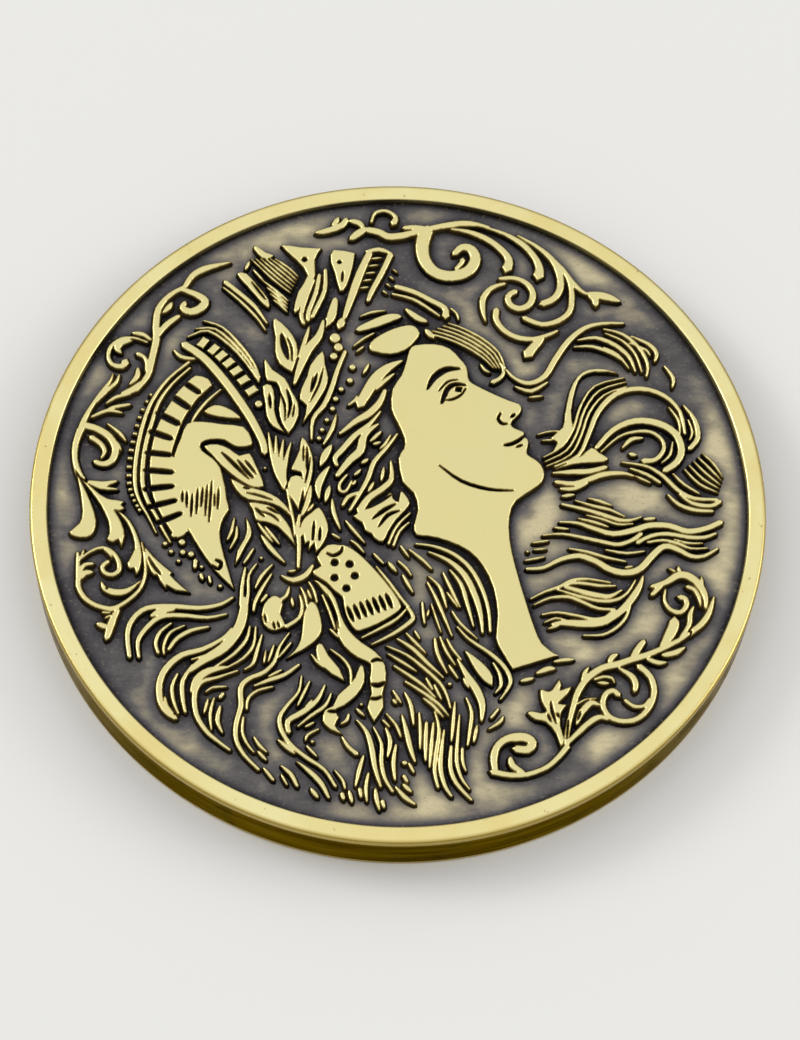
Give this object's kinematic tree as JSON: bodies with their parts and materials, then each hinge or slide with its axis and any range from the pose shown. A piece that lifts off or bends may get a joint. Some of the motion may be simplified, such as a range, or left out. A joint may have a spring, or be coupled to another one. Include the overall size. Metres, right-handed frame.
{
  "type": "challenge coin",
  "caption": "Round struck brass coin with raised rims, a relief of a head with wind-blown hair, plumes and scrollwork on one face and a rosette with scrolls on the other.",
  "frame": {"origin": "centre of the plane the coin rests on, under its back rim", "axes": "+Z out of the front face, +Y towards the top of the relief, +X to its right"},
  "size_m": [0.0445, 0.0444, 0.0035],
  "materials": {
    "patinated_brass": "dark grey antique patina, wiped lighter on the open field; bare brass on the edge",
    "rim_brass": "polished yellow brass",
    "relief_brass": "polished pale brass on the raised tops, dark patina on the walls"
  },
  "bodies": {
    "root": {"coin_blank": "patinated_brass", "front_rim": "rim_brass", "back_rim": "rim_brass", "head_and_neck": "relief_brass", "neck_dashes": "relief_brass", "forehead_locks": "relief_brass", "side_locks": "relief_brass", "wind_hair_upper": "relief_brass", "wind_hair_lower": "relief_brass", "falling_hair_left": "relief_brass", "falling_hair_centre": "relief_brass", "nape_hair": "relief_brass", "leaf_spray": "relief_brass", "feather_fan": "relief_brass", "crescent_comb": "relief_brass", "comb_teeth": "relief_brass", "bell_ornament": "relief_brass", "bow_and_ribbons": "relief_brass", "scroll_top": "relief_brass", "scroll_left": "relief_brass", "leaf_tails": "relief_brass", "scroll_lower_left": "relief_brass", "scroll_lower_right": "relief_brass", "scroll_right": "relief_brass", "back_rosette": "relief_brass", "back_scrolls": "relief_brass", "back_pearls": "relief_brass"}
  },
  "joints": []
}
